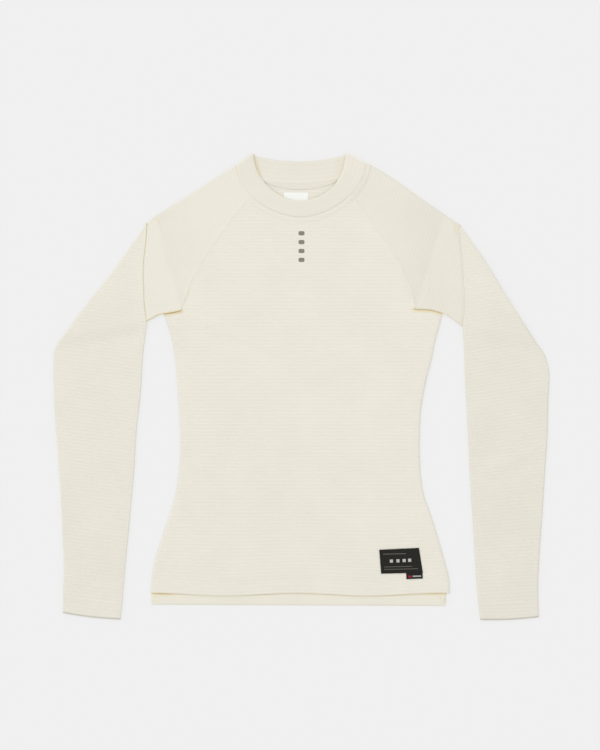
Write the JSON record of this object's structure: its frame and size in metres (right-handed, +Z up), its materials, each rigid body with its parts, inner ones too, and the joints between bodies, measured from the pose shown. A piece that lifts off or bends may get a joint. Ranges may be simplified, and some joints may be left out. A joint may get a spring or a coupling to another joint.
{
  "type": "thermal base layer top",
  "caption": "Ribbed long-sleeved thermal top laid flat on its back, with raglan sleeves folded over at the shoulders, a round collar band, a longer back hem and a small dark woven patch.",
  "frame": {"origin": "middle of the outline, on the ground that the back lies on", "axes": "+Z up out of the front, +Y from the hem to the neck, +X to the viewer's right, which is the wearer's left"},
  "size_m": [0.7042, 0.6632, 0.0073],
  "materials": {
    "ribbed_knit": "matt cream knit with fine ribs",
    "neck_tape": "matt cream herringbone tape",
    "label_satin": "soft white satin weave",
    "woven_badge": "matt dark damask weave"
  },
  "bodies": {
    "root": {"front_panel": "ribbed_knit", "back_panel": "ribbed_knit", "sleeve_left": "ribbed_knit", "sleeve_right": "ribbed_knit", "collar_band": "ribbed_knit", "back_neck_tape": "neck_tape", "neck_label": "label_satin", "hem_patch": "woven_badge", "hem_tab": "woven_badge"}
  },
  "joints": []
}
